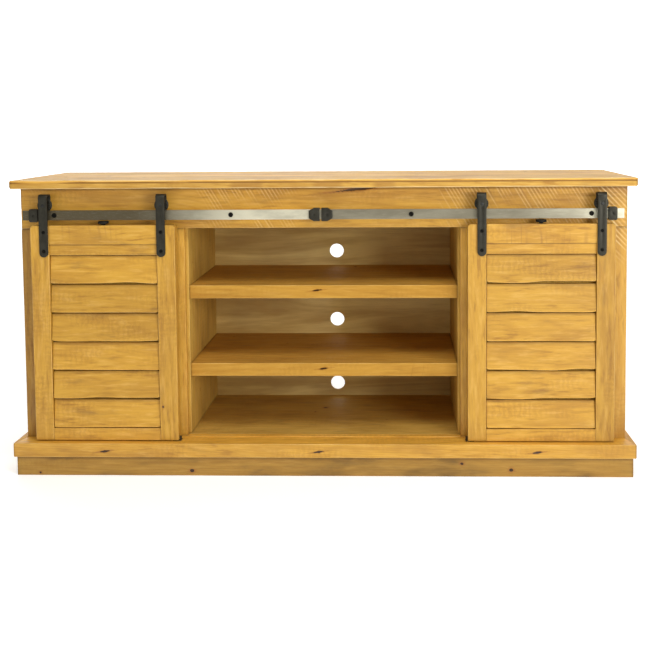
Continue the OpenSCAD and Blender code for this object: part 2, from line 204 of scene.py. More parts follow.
def set_attributes(mesh, grain, marks, tone):
    for name, data in (("grain", grain), ("marks", marks)):
        layer = mesh.attributes.new(name, "FLOAT_VECTOR", "POINT")
        layer.data.foreach_set("vector", np.asarray(data, np.float32).ravel())
    layer = mesh.attributes.new("tone", "FLOAT", "POINT")
    layer.data.foreach_set("value", np.asarray(tone, np.float32))


def saw_marks(a, b, slant, spacing, seed, keep=0.5, width=0.15):
    """Marks of a coarse saw, which lean by slant radians: each is a thin crest (1) with a thin furrow
    (-1) beside it. keep is the share of them that are strong; the others have almost gone. width is
    that of a crest, as a share of the spacing."""
    across = a * math.cos(slant) + b * math.sin(slant)
    along = -a * math.sin(slant) + b * math.cos(slant)
    phase = across / spacing + 0.8 * (noise(across * 9, along * 5, seed=seed) - 0.5)
    line = np.floor(phase).astype(np.int64)
    t = phase - line
    strong = 0.2 + 0.8 * smooth(hash01(line, 0, 0, seed), 0.9 - keep, 1.1 - keep)
    strong = strong * (0.4 + 0.6 * noise(along * 16, line * 7.3, seed=seed + 2))
    crest = np.exp(-((t - 0.5 + 0.8 * width) / width) ** 2)
    return strong * (crest - np.exp(-((t - 0.5 - 1.1 * width) / width) ** 2))


def round_corner(p, a, edge_a, b, edge_b, r):
    """Rounds the corner where the faces at edge_a and edge_b meet, in the plane of axes a and b."""
    sign_a = 1 if edge_a > p[:, a].mean() else -1
    sign_b = 1 if edge_b > p[:, b].mean() else -1
    da, db = (p[:, a] - edge_a) * sign_a + r, (p[:, b] - edge_b) * sign_b + r
    inside = (da > 0) & (db > 0)
    scale = np.where(inside, np.maximum(da, db) / np.maximum(np.hypot(da, db), 1e-9), 1.0)
    p[:, a] = np.where(inside, edge_a - sign_a * (r - da * scale), p[:, a])
    p[:, b] = np.where(inside, edge_b - sign_b * (r - db * scale), p[:, b])
    return p


def facing_front(normal):
    return normal[:, 1] < -0.6


def worn_surface(p, axes, half, r, wear, wave, seed):
    """Brings the grid of a box to eased edges, whose radius r changes where wear has taken the
    arris, and sinks shallow hollows into its faces. Gives the points, their normals, and how far
    round an edge they are. axes are those along, across and through the board."""
    L, W, T = p[:, axes].T
    worn = 1 - wear * (1 - smooth(noise(L * 14, np.sign(W) * 3.3, np.sign(T) * 7.7, seed), 0.25, 0.75))
    radius = (r * worn)[:, None]
    core = np.clip(p, -half + radius, half - radius)
    d = p - core
    normal = d / np.maximum(np.linalg.norm(d, axis=1), 1e-9)[:, None]
    edge = np.clip(np.sort(np.abs(d) / radius, axis=1)[:, 1], 0, 1)
    hollow = noise(L * 6, W * 22, T * 22, seed) * 0.7 + noise(L * 25, W * 60, T * 60, seed + 9) * 0.3
    return core + normal * radius - normal * (wave * hollow)[:, None], normal, edge


def sink_slots(world, front, slots, seed):
    """The depth of each point in the splits of a front face, and the knot distance that darkens it."""
    depth, distance = np.zeros(len(world)), np.full(len(world), NO_KNOT)
    for x, z, half_length, half_height, least in slots:
        dx = (world[:, 0] - x) / half_length
        narrowed = half_height * (1 - 0.5 * np.abs(dx).clip(0, 1))
        dz = (world[:, 2] - z - 0.12 * (world[:, 0] - x)) / narrowed
        s = np.hypot(dx, dz) * (1 + 0.5 * (noise(world[:, 0] * 300, world[:, 2] * 300, seed=seed) - 0.5))
        depth = depth + (1 - smooth(s, 0.5, 1.1)) * SLOT_DEPTH * front
        distance = np.minimum(distance, np.where(front, np.maximum(0.85 * s, least), NO_KNOT))
    return depth, distance


def board(name, low, high, body, material, slot, *nodes, along=0, step=4 * MM, r=1.5 * MM,
          wave=0.5 * MM, wear=0.6, knots=0, knot_at=(), saw=None, slots=(), tone=0.0, vary=0.3,
          lines=None, shape=None, drink=1.6):
    """A solid sawn board that fills the box from low to high, less its eased and worn edges.

    along is the axis of the grain, step the grid's cell size or sizes, r the edges' radius, wave the
    depth of the hollows and wear how much the radius changes. knots is how many small knots are
    strewn over the board, and knot_at places others as (distance along, distance across,
    radius) from its centre. saw is a function of world X, Z, face normals and seed that gives the
    marks' height, from -1 to 1, and their depth. slots are splits in the front face, as (x, z, half
    length, half height, least knot distance): with 0 they are black inside, near 1 brown. tone may
    be a function of points and normals, vary is how much the tone strays from board to board, and
    drink how much darker the ends are. lines are world places for sharp steps, by axis, and shape
    bends the points.
    """
    low, high = np.array(low, float), np.array(high, float)
    centre, half = (low + high) / 2, (high - low) / 2
    others = [a for a in range(3) if a != along]
    wide = max(others, key=lambda a: half[a])
    thin = min(others, key=lambda a: half[a]) if half[others[0]] != half[others[1]] else others[1]
    r = min(r, 0.45 * half[thin])
    steps = step if isinstance(step, tuple) else (step,) * 3
    extra = lines or {}
    grid = [cuts(half[a], steps[a], r, [e - centre[a] for e in extra.get(a, ())]) for a in range(3)]
    p, quads = box_grid(grid)
    seed = seed_of(name)
    rng = np.random.default_rng(seed)
    axes = [along, wide, thin]
    q, normal, edge = worn_surface(p, axes, half, r, wear, wave, seed)
    world = q + centre
    ridge = np.zeros(len(q))
    if saw:
        ridge, height = saw(world[:, 0], world[:, 2], normal, seed)
        q = q - normal * (height * (1 - ridge) / 2 * (height > 0))[:, None]
    sunk, slot_distance = sink_slots(world, facing_front(normal), slots, seed)
    q = q - normal * sunk[:, None]

    all_knots = list(knot_at)
    for _ in range(knots):
        all_knots.append((rng.uniform(-0.93, 0.93) * half[along], rng.uniform(-0.8, 0.8) * half[wide],
                          rng.uniform(2.0, 5.5) * MM))
    grain, knot_distance = grain_fields(*p[:, axes].T, 2 * half[axes], seed, all_knots)
    distance = np.minimum(knot_distance, slot_distance)
    world = q + centre
    end = smooth(np.abs(p[:, along]), half[along] - 7 * MM, half[along] - 1.5 * MM)
    base_tone = tone(world, normal) if callable(tone) else tone
    tones = base_tone + vary * rng.uniform(-1, 1) - drink * end
    if shape:
        world = shape(world)
    mesh = new_mesh(name, world, quads)
    # The third mark says how pale an edge turns, partly as wear and partly as painted highlight; none
    # near the ends or where the tone is dark.
    marks = np.stack([distance, ridge, edge * (1 - 0.7 * end) * (tones > NO_PALE_EDGE_TONE)], -1)
    set_attributes(mesh, grain, marks, tones)
    return put(name, mesh, body, material, slot, *nodes)


def cut_joints(bm, axis, thin, planks):
    """Cuts fine V joints across an axis of a panel, as between glued planks. Returns their places."""
    low, high = (pick(v.co[axis] for v in bm.verts) for pick in (min, max))
    middle = (min(v.co[thin] for v in bm.verts) + max(v.co[thin] for v in bm.verts)) / 2
    joints = [low + (high - low) * i / planks for i in range(1, planks)]
    for joint in joints:
        for offset in (-0.6, -0.05, 0.05, 0.6):
            place, across = Vector(), Vector()
            place[axis], across[axis] = joint + offset * MM, 1
            bmesh.ops.bisect_plane(bm, geom=bm.verts[:] + bm.edges[:] + bm.faces[:],
                                   plane_co=place, plane_no=across, dist=1e-7)
        for v in bm.verts:
            if abs(v.co[axis] - joint) < 0.1 * MM:
                v.co[thin] += math.copysign(0.6 * MM, middle - v.co[thin])
    return joints


def from_cad(node, body, material, slot, bevel=0.5 * MM, along=0, tone=None, planks=1):
    """A copy of a CAD node's shape with eased edges and the fields that the finishes read. With
    planks it is glued up from that many boards side by side. tone is a function of the points."""
    name = node + "_finish"
    bm = bmesh.new()
    bm.from_mesh(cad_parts[node].data)
    bmesh.ops.remove_doubles(bm, verts=bm.verts, dist=2e-6)
    bmesh.ops.dissolve_limit(bm, angle_limit=math.radians(1), verts=bm.verts, edges=bm.edges)
    sharp = [e for e in bm.edges if len(e.link_faces) == 2 and e.calc_face_angle(0) > math.radians(25)]
    bmesh.ops.bevel(bm, geom=sharp, offset=bevel, segments=2, profile=0.5, affect="EDGES",
                    clamp_overlap=True)
    size = [max(v.co[a] for v in bm.verts) - min(v.co[a] for v in bm.verts) for a in range(3)]
    wide = max((a for a in range(3) if a != along), key=lambda a: size[a])
    thin = 3 - along - wide
    joints = cut_joints(bm, wide, thin, planks)
    bmesh.ops.triangulate(bm, faces=[f for f in bm.faces if len(f.verts) > 4])
    bmesh.ops.recalc_face_normals(bm, faces=bm.faces)
    for face in bm.faces:
        face.smooth = True
    for e in bm.edges:
        if len(e.link_faces) == 2 and e.calc_face_angle(0) > math.radians(32):
            e.smooth = False
    mesh = bpy.data.meshes.new(name)
    bm.to_mesh(mesh)
    bm.free()
    co = np.zeros(len(mesh.vertices) * 3)
    mesh.vertices.foreach_get("co", co)
    co = co.reshape(-1, 3)
    q = co - (co.max(0) + co.min(0)) / 2
    grain, distance = grain_fields(q[:, along], q[:, wide], q[:, thin],
                                   [size[a] for a in (along, wide, thin)], seed_of(name), ())
    plank = np.searchsorted(joints, co[:, wide]) if joints else np.zeros(len(co), int)
    grain = grain + plank[:, None] * np.array([2.7, 0.21, 0.08])
    tones = np.zeros(len(co)) if tone is None else tone(co)
    tones = tones + 0.9 * (hash01(plank, 0, 0, seed_of(name)) - 0.5) * (planks > 1)
    set_attributes(mesh, grain, np.stack([distance, 0 * distance, 0 * distance], -1), tones)
    return put(name, mesh, body, material, slot, node)


# ---------------------------------------------------------------- finishes

class Finish:
    """A node material, with short names for the nodes that these finishes are made of."""

    def __init__(self, name):
        self.material = bpy.data.materials.new(name)
        self.material.use_nodes = True
        self.tree = self.material.node_tree
        self.tree.nodes.clear()
        self.out = self.tree.nodes.new("ShaderNodeOutputMaterial")
        self.shader = self.tree.nodes.new("ShaderNodeBsdfPrincipled")
        self.tree.links.new(self.shader.outputs[0], self.out.inputs["Surface"])

    def add(self, kind, inputs=(), **props):
        n = self.tree.nodes.new("ShaderNode" + kind)
        for key, value in props.items():
            setattr(n, key, value)
        for key, value in dict(inputs).items():
            self.feed(n.inputs[key], value)
        return n

    def feed(self, socket, value):
        if isinstance(value, bpy.types.NodeSocket):
            self.tree.links.new(value, socket)
        else:
            socket.default_value = value

    def math(self, operation, a, b=0.0, clamp=False):
        n = self.add("Math", {0: a, 1: b}, operation=operation, use_clamp=clamp)
        return n.outputs[0]

    def remap(self, value, a, b, c=0.0, d=1.0, eased=True):
        n = self.add("MapRange", {"Value": value, "From Min": a, "From Max": b, "To Min": c,
                                  "To Max": d},
                     interpolation_type="SMOOTHSTEP" if eased else "LINEAR")
        return n.outputs[0]

    def mix(self, factor, a, b, blend="MIX"):
        n = self.add("Mix", {0: factor, 6: a, 7: b}, data_type="RGBA", blend_type=blend)
        return n.outputs[2]

    def noise(self, vector, scale, detail=2.0, rough=0.5, distortion=0.0):
        n = self.add("TexNoise", {"Vector": vector, "Scale": scale, "Detail": detail,
                                  "Roughness": rough, "Distortion": distortion})
        return n.outputs[0]

    def stretch(self, vector, x, y, z):
        return self.add("VectorMath", {0: vector, 1: (x, y, z)}, operation="MULTIPLY").outputs[0]

    def attribute(self, name):
        return self.add("Attribute", attribute_name=name)

    def split(self, vector):
        return self.add("SeparateXYZ", {0: vector}).outputs

    def join(self, x, y, z):
        return self.add("CombineXYZ", {0: x, 1: y, 2: z}).outputs[0]

    def finish(self, color, roughness, height=None, distance=1.0 * MM, strength=1.0, **sockets):
        self.feed(self.shader.inputs["Base Color"], color)
        self.feed(self.shader.inputs["Roughness"], roughness)
        for key, value in sockets.items():
            self.feed(self.shader.inputs[key.replace("_", " ")], value)
        if height is not None:
            bump = self.add("Bump", {"Strength": strength, "Distance": distance, "Height": height})
            self.tree.links.new(bump.outputs[0], self.shader.inputs["Normal"])
        return self.material


def srgb(r, g, b):
    """A colour given by its screen values from 0 to 255, as linear light."""
    return tuple(((c / 255) / 12.92 if c <= 10 else ((c / 255 + 0.055) / 1.055) ** 2.4)
                 for c in (r, g, b)) + (1.0,)


RING_PITCH = 5.6 * MM
HONEY_FLECK, GREY_STAIN = srgb(232, 184, 94), srgb(112, 88, 52)
SAW_CREST, SAW_FURROW = srgb(244, 214, 146), srgb(150, 100, 42)
KNOT_HALO, KNOT_RIM, KNOT_HEART = srgb(150, 92, 36), srgb(38, 23, 10), srgb(64, 40, 16)
BRIGHT_SCRATCH = srgb(232, 230, 220)
PLY_PORE, PLY_CLOUD, RAW_PLY_TINT = srgb(86, 58, 30), srgb(150, 112, 66), srgb(206, 188, 158)


def pine(name, pale, mid, dark, rings=0.5, chatter=0.35, stain=0.3, rough=0.5, blotch=0.5,
         mottle=0.4, specular=0.5, wear_and_highlight_color=srgb(240, 203, 126), wear_and_highlight_least=0.25):
    """Stained and waxed sawn pine: growth rings, fibres, planer chatter, knots, and pale edges that are
    partly wear and partly painted highlight.

    rings, chatter, stain (grey), blotch (wide and dark) and mottle (flecks) say how strongly each
    shows. The last two arguments are the colour of the pale edges, which are partly worn and partly
    painted highlight, and the least share of that colour that shows on them.
    """
    f = Finish(name)
    grain = f.attribute("grain").outputs["Vector"]
    knot, saw, edge = f.split(f.attribute("marks").outputs["Vector"])
    tone = f.attribute("tone").outputs["Fac"]
    _, gy, gz = f.split(grain)

    wobble = f.noise(f.stretch(grain, 2.4, 16, 16), 1.0, 3.0, 0.55)
    radius = f.add("VectorMath", {0: f.join(0.0, gy, gz)}, operation="LENGTH").outputs["Value"]
    phase = f.math("ADD", f.math("MULTIPLY", radius, 1 / RING_PITCH),
                   f.math("MULTIPLY", wobble, 3.2))
    wave = f.math("SINE", f.math("MULTIPLY", phase, 2 * math.pi))
    late = f.math("POWER", f.remap(wave, -1.0, 1.0, eased=False), 2.6)
    late = f.math("MULTIPLY", late, f.remap(f.noise(f.stretch(grain, 1.1, 9, 9), 1.0, 2.0),
                                            0.3, 0.7, 0.35, 1.0))
    fibre = f.noise(f.stretch(grain, 9, 640, 640), 1.0, 3.0, 0.6)
    streak = f.noise(f.stretch(grain, 1.6, 85, 85), 1.0, 3.0, 0.6)
    patch = f.noise(f.stretch(grain, 3.5, 11, 11), 1.0, 3.0, 0.6)

    # Planer chatter across the grain, only in places
    bands = f.add("TexWave", {"Vector": grain, "Scale": 21.0, "Distortion": 6.0, "Detail": 3.0,
                              "Detail Scale": 4.0}, bands_direction="X").outputs["Fac"]
    where = f.remap(f.noise(f.stretch(grain, 5.0, 14, 14), 1.0, 2.0), 0.48, 0.66)
    chatter_height = f.math("MULTIPLY", bands, f.math("MULTIPLY", where, chatter))

    color = f.mix(f.math("MULTIPLY", late, rings, clamp=True), pale, mid)
    color = f.mix(f.remap(streak, 0.35, 0.72, 0.0, 0.55), color, mid)
    color = f.mix(f.remap(fibre, 0.55, 0.85, 0.0, 0.35), color, dark)
    color = f.mix(f.remap(patch, 0.42, 0.75, 0.0, blotch), color, dark)
    fleck = f.noise(f.stretch(grain, 15, 105, 105), 1.0, 3.0, 0.6)
    flecked = f.remap(f.noise(f.stretch(grain, 4.0, 13, 13), 1.0, 2.0), 0.35, 0.62, 0.25, 1.0)
    color = f.mix(f.math("MULTIPLY", f.remap(fleck, 0.50, 0.72, 0.0, mottle), flecked), color, dark)
    color = f.mix(f.remap(fleck, 0.50, 0.28, 0.0, 0.6 * mottle), color, HONEY_FLECK)
    grey = f.noise(f.stretch(grain, 7.0, 24, 24), 1.0, 4.0, 0.65)
    color = f.mix(f.remap(grey, 0.58, 0.76, 0.0, stain), color, GREY_STAIN)
    color = f.mix(f.math("MULTIPLY", chatter_height, 0.5), color, dark)
    color = f.mix(f.remap(saw, 0.05, 1.0, 0.0, 0.85), color, SAW_CREST)
    color = f.mix(f.remap(saw, -0.05, -1.0, 0.0, 0.55), color, SAW_FURROW)
    value = f.math("ADD", 1.0, f.math("MULTIPLY", tone, 0.16))
    color = f.add("HueSaturation", {"Color": color, "Value": value, "Saturation": 1.0,
                                    "Hue": 0.5, "Fac": 1.0}).outputs[0]

    # Knots: a dark heart, a darker rim, and reddish wood round them
    color = f.mix(f.remap(knot, 2.6, 1.0, 0.0, 0.55), color, KNOT_HALO)
    heart = f.remap(knot, 1.12, 0.92)
    color = f.mix(heart, color, f.mix(f.remap(knot, 0.9, 0.35), KNOT_RIM, KNOT_HEART))

    # Pale edges, in patches: partly wear where the stain has gone, partly painted highlight along the
    # arrises
    wear_and_highlight = f.math("MULTIPLY", edge, f.remap(f.noise(f.stretch(grain, 22, 60, 60), 1.0, 3.0),
                                           0.3, 0.6, wear_and_highlight_least, wear_and_highlight_least + 0.5))
    color = f.mix(wear_and_highlight, color, wear_and_highlight_color)

    height = f.math("MULTIPLY", late, 0.25)
    height = f.math("ADD", height, f.math("MULTIPLY", fibre, 0.55))
    height = f.math("ADD", height, f.math("MULTIPLY", streak, 0.35))
    height = f.math("SUBTRACT", height, f.math("MULTIPLY", chatter_height, 0.9))
    height = f.math("SUBTRACT", height, f.math("MULTIPLY", heart, 0.6))
    roughness = f.remap(f.noise(f.stretch(grain, 12, 90, 90), 1.0, 3.0), 0.3, 0.75,
                        rough - 0.07, rough + 0.1)
    return f.finish(color, roughness, height, 0.45 * MM, 0.8, Specular_IOR_Level=specular)


def brushed_steel(name, pale, dark, rough, metallic=1.0):
    """Steel with fine scratches along it and a brownish oiled patina. A tone of 1 is fully dark."""
    f = Finish(name)
    grain = f.attribute("grain").outputs["Vector"]
    tone = f.attribute("tone").outputs["Fac"]
    scratch = f.noise(f.stretch(grain, 14, 1500, 1500), 1.0, 3.0, 0.6)
    cloud = f.noise(f.stretch(grain, 9, 30, 30), 1.0, 4.0, 0.6)
    color = f.mix(f.remap(cloud, 0.35, 0.7, 0.0, 0.35), pale, dark)
    color = f.mix(tone, color, dark)
    color = f.mix(f.remap(scratch, 0.55, 0.8, 0.0, 0.3), color, BRIGHT_SCRATCH)
    roughness = f.remap(scratch, 0.3, 0.7, rough - 0.06, rough + 0.14)
    return f.finish(color, roughness, scratch, 0.06 * MM, 0.5, Metallic=metallic)


def black_powder(name, base, speck, rough, specular=0.45):
    """Black powder coat: fine orange peel, with thin rubbed places and a slightly warm sheen."""
    f = Finish(name)
    grain = f.attribute("grain").outputs["Vector"]
    peel = f.noise(grain, 1400.0, 3.0, 0.6)
    cloud = f.noise(grain, 55.0, 4.0, 0.6)
    color = f.mix(f.remap(cloud, 0.4, 0.75, 0.0, 0.6), base, speck)
    color = f.mix(f.remap(peel, 0.6, 0.8, 0.0, 0.25), color, speck)
    roughness = f.remap(cloud, 0.3, 0.7, rough - 0.05, rough + 0.1)
    return f.finish(color, roughness, peel, 0.12 * MM, 0.5, Specular_IOR_Level=specular,
                    Specular_Tint=(1, 0.94, 0.76, 1))


def back_sheet(name, pale, dark):
    """Stained plywood: wide soft figure, and long thin pores. Its tone of 1 is a raw outer face."""
    f = Finish(name)
    grain = f.attribute("grain").outputs["Vector"]
    raw = f.attribute("tone").outputs["Fac"]
    figure = f.noise(f.stretch(grain, 1.6, 14, 14), 1.0, 4.0, 0.6, 0.6)
    pores = f.noise(f.stretch(grain, 20, 900, 900), 1.0, 3.0, 0.6)
    cloud = f.noise(f.stretch(grain, 3.2, 5.0, 5.0), 1.0, 3.0, 0.6)
    color = f.mix(f.remap(figure, 0.38, 0.66), pale, dark)
    color = f.mix(f.remap(pores, 0.55, 0.8, 0.0, 0.4), color, PLY_PORE)
    color = f.mix(f.remap(cloud, 0.45, 0.75, 0.0, 0.35), color, PLY_CLOUD)
    color = f.mix(raw, color, f.mix(1.0, color, RAW_PLY_TINT, "MULTIPLY"))
    roughness = f.remap(cloud, 0.3, 0.7, 0.5, 0.66)
    return f.finish(color, roughness, pores, 0.2 * MM, 0.5)


FRAME_PINE = pine("frame_pine", srgb(218, 166, 60), srgb(196, 141, 45), srgb(150, 99, 30),
                  rings=0.55, chatter=0.35, stain=0.22, blotch=0.5, mottle=0.6)
# The top's pale edges are paler still: worn, and with a painted highlight along the front arris.
TOP_PINE = pine("top_pine", srgb(213, 167, 77), srgb(196, 143, 52), srgb(154, 102, 36),
                rings=0.6, chatter=0.3, stain=0.25, rough=0.55, blotch=0.6, mottle=0.6, specular=0.3,
                wear_and_highlight_color=srgb(250, 228, 172), wear_and_highlight_least=0.45)
DOOR_PINE = pine("door_pine", srgb(213, 162, 54), srgb(194, 141, 41), srgb(152, 101, 29),
                 rings=0.5, chatter=0.5, stain=0.32, blotch=0.5, mottle=0.65)
INNER_PINE = pine("inner_pine", srgb(202, 163, 78), srgb(182, 138, 58), srgb(146, 106, 44),
                  rings=0.5, chatter=0.3, stain=0.35, rough=0.6, specular=0.12)
SHELF_PINE = pine("shelf_pine", srgb(210, 160, 68), srgb(193, 139, 55), srgb(157, 106, 42),
                  rings=0.45, chatter=0.35, stain=0.16, rough=0.62, blotch=0.4, specular=0.08)
# The plinth's pine is darker than the frame's, in part as painted shade of the ledge above it.
PLINTH_PINE = pine("plinth_pine", srgb(190, 145, 60), srgb(168, 121, 43), srgb(112, 82, 32),
                   rings=0.5, chatter=0.2, stain=0.5, rough=0.55, blotch=0.9, mottle=0.3,
                   specular=0.4)
BACK_PLY = back_sheet("back_ply", srgb(234, 206, 126), srgb(194, 158, 84))
RAIL_STEEL = brushed_steel("rail_steel", (0.74, 0.70, 0.53, 1), srgb(90, 81, 60), 0.34, 0.65)
WHEEL_STEEL = brushed_steel("wheel_steel", (0.04, 0.037, 0.027, 1), (0.02, 0.018, 0.014, 1), 0.45)
AXLE_STEEL = brushed_steel("axle_steel", (0.045, 0.045, 0.042, 1), (0.02, 0.02, 0.02, 1), 0.45)
BLACK_METAL = black_powder("black_metal", (0.009, 0.0085, 0.006, 1), (0.026, 0.025, 0.018, 1), 0.44)
SCREW_BLACK = black_powder("screw_black", (0.002, 0.002, 0.002, 1), (0.005, 0.005, 0.005, 1), 0.55,
                           specular=0.15)
BLACK_NYLON = black_powder("black_nylon", (0.007, 0.007, 0.006, 1), (0.016, 0.015, 0.012, 1), 0.6,
                           specular=0.2)
BROWN_NYLON = black_powder("brown_nylon", (0.055, 0.036, 0.014, 1), (0.08, 0.05, 0.02, 1), 0.6,
                           specular=0.2)


# ---------------------------------------------------------------- camera, light and floor

def camera_at(location, yaw, pitch, roll, lens, shift):
    """Places the scene's camera. With no yaw, pitch or roll it looks along +Y."""
    forward = Vector((-math.sin(yaw) * math.cos(pitch), math.cos(yaw) * math.cos(pitch),
                      -math.sin(pitch)))
    right = Vector((math.cos(yaw), math.sin(yaw), 0))
    up = right.cross(forward)
    x = math.cos(roll) * right + math.sin(roll) * up
    y = -math.sin(roll) * right + math.cos(roll) * up
    data = bpy.data.cameras.new("photo_camera")
    data.sensor_width, data.lens = 36.0, lens
    data.shift_x, data.shift_y = shift
    data.clip_start, data.clip_end = 0.05, 100.0
    camera = bpy.data.objects.new("photo_camera", data)
    bpy.context.scene.collection.objects.link(camera)
    turn = Matrix((x, y, -forward)).transposed().to_4x4()
    camera.matrix_world = Matrix.Translation(location) @ turn
    bpy.context.scene.camera = camera


def soft_light(name, location, target, size, power, color=(1, 1, 1)):
    data = bpy.data.lights.new(name, "AREA")
    data.shape, data.size, data.size_y = "RECTANGLE", size[0], size[1]
    data.energy, data.color = power, color
    light = bpy.data.objects.new(name, data)
    light.location = location
    light.rotation_euler = (Vector(target) - Vector(location)).to_track_quat("-Z", "Y").to_euler()
    bpy.context.scene.collection.objects.link(light)


front_y = CAD_LOW.y
camera_at(Vector((0.219, front_y - 2.708, 0.9987)), yaw=0.030, pitch=0.0676, roll=-0.0069,
          lens=54.18, shift=(-0.0677, -0.2076))
middle = (CAD_LOW + CAD_HIGH) / 2
soft_light("key", (2.6, front_y - 2.9, 1.25), middle, (1.3, 1.3), 65)
soft_light("fill", (-2.2, front_y - 3.4, 1.6), middle, (2.4, 2.0), 7, (1.0, 0.94, 0.82))
soft_light("overhead", (0.3, front_y - 1.5, 2.7), (0.1, front_y, 0.3), (2.2, 0.9), 38)
soft_light("rear", (-1.0, 3.0, 3.0), middle, (2.4, 2.0), 24, (1.0, 0.96, 0.86))

world = bpy.data.worlds.new("studio")
world.use_nodes = True
world.node_tree.nodes["Background"].inputs["Color"].default_value = (1, 0.96, 0.89, 1)
world.node_tree.nodes["Background"].inputs["Strength"].default_value = 0.29
bpy.context.scene.world = world
bpy.context.scene.view_settings.view_transform = "Standard"


def stage_sheet(name, x_axis, y_axis, origin, half, colors, glow):
    """A large plain sheet for the floor or the backdrop, with a faint glow of its own."""
    f = Finish(name)
    cloud = f.noise(f.add("NewGeometry").outputs["Position"], 1.3, 3.0, 0.5)
    color = f.mix(f.remap(cloud, 0.3, 0.7, 0.0, 0.25), *colors)
    material = f.finish(color, 0.85, Emission_Color=(0.95, 0.98, 1, 1), Emission_Strength=glow)
    n = 24
    u, v = np.meshgrid(*(np.linspace(-h, h, n + 1) for h in half), indexing="ij")
    points = (np.array(origin) + u[..., None] * np.array(x_axis) + v[..., None] * np.array(y_axis))
    ids = np.arange((n + 1) ** 2).reshape(n + 1, n + 1)
    quads = np.stack([ids[:-1, :-1], ids[1:, :-1], ids[1:, 1:], ids[:-1, 1:]], -1).reshape(-1, 4)
    mesh = new_mesh(name, points.reshape(-1, 3), quads)
    sheet = bpy.data.objects.new(name, mesh)
    bpy.context.scene.collection.objects.link(sheet)
    mesh.materials.append(material)


PALE = ((0.93, 0.93, 0.93, 1), (0.89, 0.89, 0.89, 1))
stage_sheet("floor", (1, 0, 0), (0, 1, 0), origin=(0, 0, CAD_LOW.z - 0.2 * MM), half=(16, 16),
            colors=PALE, glow=0.42)
stage_sheet("backdrop", (1, 0, 0), (0, 0, 1), origin=(0, 6.5, 4.5), half=(9, 4.6), colors=PALE,
            glow=1.0)


# ---------------------------------------------------------------- cabinet

def span(node):
    low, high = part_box(node)
    return np.array(low), np.array(high)


def cad_board(node, body, material, slot, **options):
    low, high = span(node)
    return board(node + "_board", low, high, body, material, slot, node, **options)


header_low, header_high = span("header")
ledge_low, ledge_high = span("ledge_front_board")


def rope_ridges(x, z, seed):
    """Close ridges at 45 degrees, as at the header's right end."""
    ridge = 1.6 * saw_marks(x, z, math.radians(45), 11 * MM, seed, keep=0.95, width=0.22)
    return np.clip(ridge * (0.5 + 0.5 * smooth(noise(x * 9, z * 6, seed=seed + 4), 0.25, 0.6)), -1, 1)


def header_saw(x, z, normal, seed):
    """Slanting ridges left of the centre and over the right half of the header, stronger near its
    top, with closer ones at its right end."""
    zone = np.maximum(smooth(x, -0.40, -0.30) * (1 - smooth(x, -0.12, -0.02)) * 0.9,
                      smooth(x, 0.26, 0.42))
    zone = np.maximum(zone, 0.22 * smooth(noise(x * 4, z * 4, seed=seed), 0.4, 0.7))
    patchy = 0.4 + 0.6 * smooth(noise(x * 13, z * 26, seed=seed + 4), 0.25, 0.6)
    patchy = patchy * (0.8 + 0.5 * smooth(z, header_high[2] - 30 * MM, header_high[2] - 10 * MM))
    ridge = saw_marks(x, z, math.radians(31), 9 * MM, seed, keep=0.85, width=0.24) * zone * patchy
    at_end = smooth(x, 0.775, 0.80)
    ridge = (1 - at_end) * np.clip(ridge, -1, 0.5) + at_end * rope_ridges(x, z, seed)
    front = facing_front(normal)
    return ridge * front, 0.9 * MM * front


def header_painted_shadow(p, normal):
    """Painted shadow: the header darkens in a band just under the top, where the top's overhang would
    shade it, and is a little darker overall.
    """
    return -0.3 - 2.2 * smooth(p[:, 2], header_high[2] - 9 * MM, header_high[2] - 4 * MM)


def stile_saw(strength):
    """Close ridges at the top of an outer stile, which soon fade."""
    def saw(x, z, normal, seed):
        front = facing_front(normal)
        zone = 0.14 + 0.86 * smooth(z, header_low[2] - 0.14, header_low[2] - 0.02)
        return rope_ridges(x, z, seed) * strength * zone * front, 0.8 * MM * front
    return saw


def chatter_saw(strength, x_from=-2.0, z_from=-2.0):
    """Soft upright bands left by a planer, in patches, to the right of x_from and above z_from."""
    def saw(x, z, normal, seed):
        phase = x / (17 * MM) + 2.6 * noise(x * 21, z * 6, seed=seed)
        ridge = np.sin(2 * math.pi * phase) * noise(phase * 0.9, z * 8, seed=seed + 2) ** 1.5
        ridge = ridge * strength * smooth(noise(x * 9, z * 5, seed=seed + 4), 0.35, 0.65)
        ridge = ridge * smooth(x, x_from, x_from + 0.15) * (z > z_from)
        front = facing_front(normal)
        return np.where(ridge > 0, 0.1, 1.0) * np.clip(ridge, -1, 1) * front, 0.3 * MM * front
    return saw


def joint_shade(base, *joints):
    """A tone that is dark with old glaze in the joints between the top's planks, which lie at the
    places given in Y, and a little paler on the upper face."""
    def tone(p, normal):
        near = sum((np.abs(p[:, 1] - joint) < 4 * MM) * smooth(np.abs(normal[:, 1]), 0.15, 0.5)
                   for joint in joints)
        return base + 0.7 * (normal[:, 2] > 0.9) - 3.5 * near
    return tone


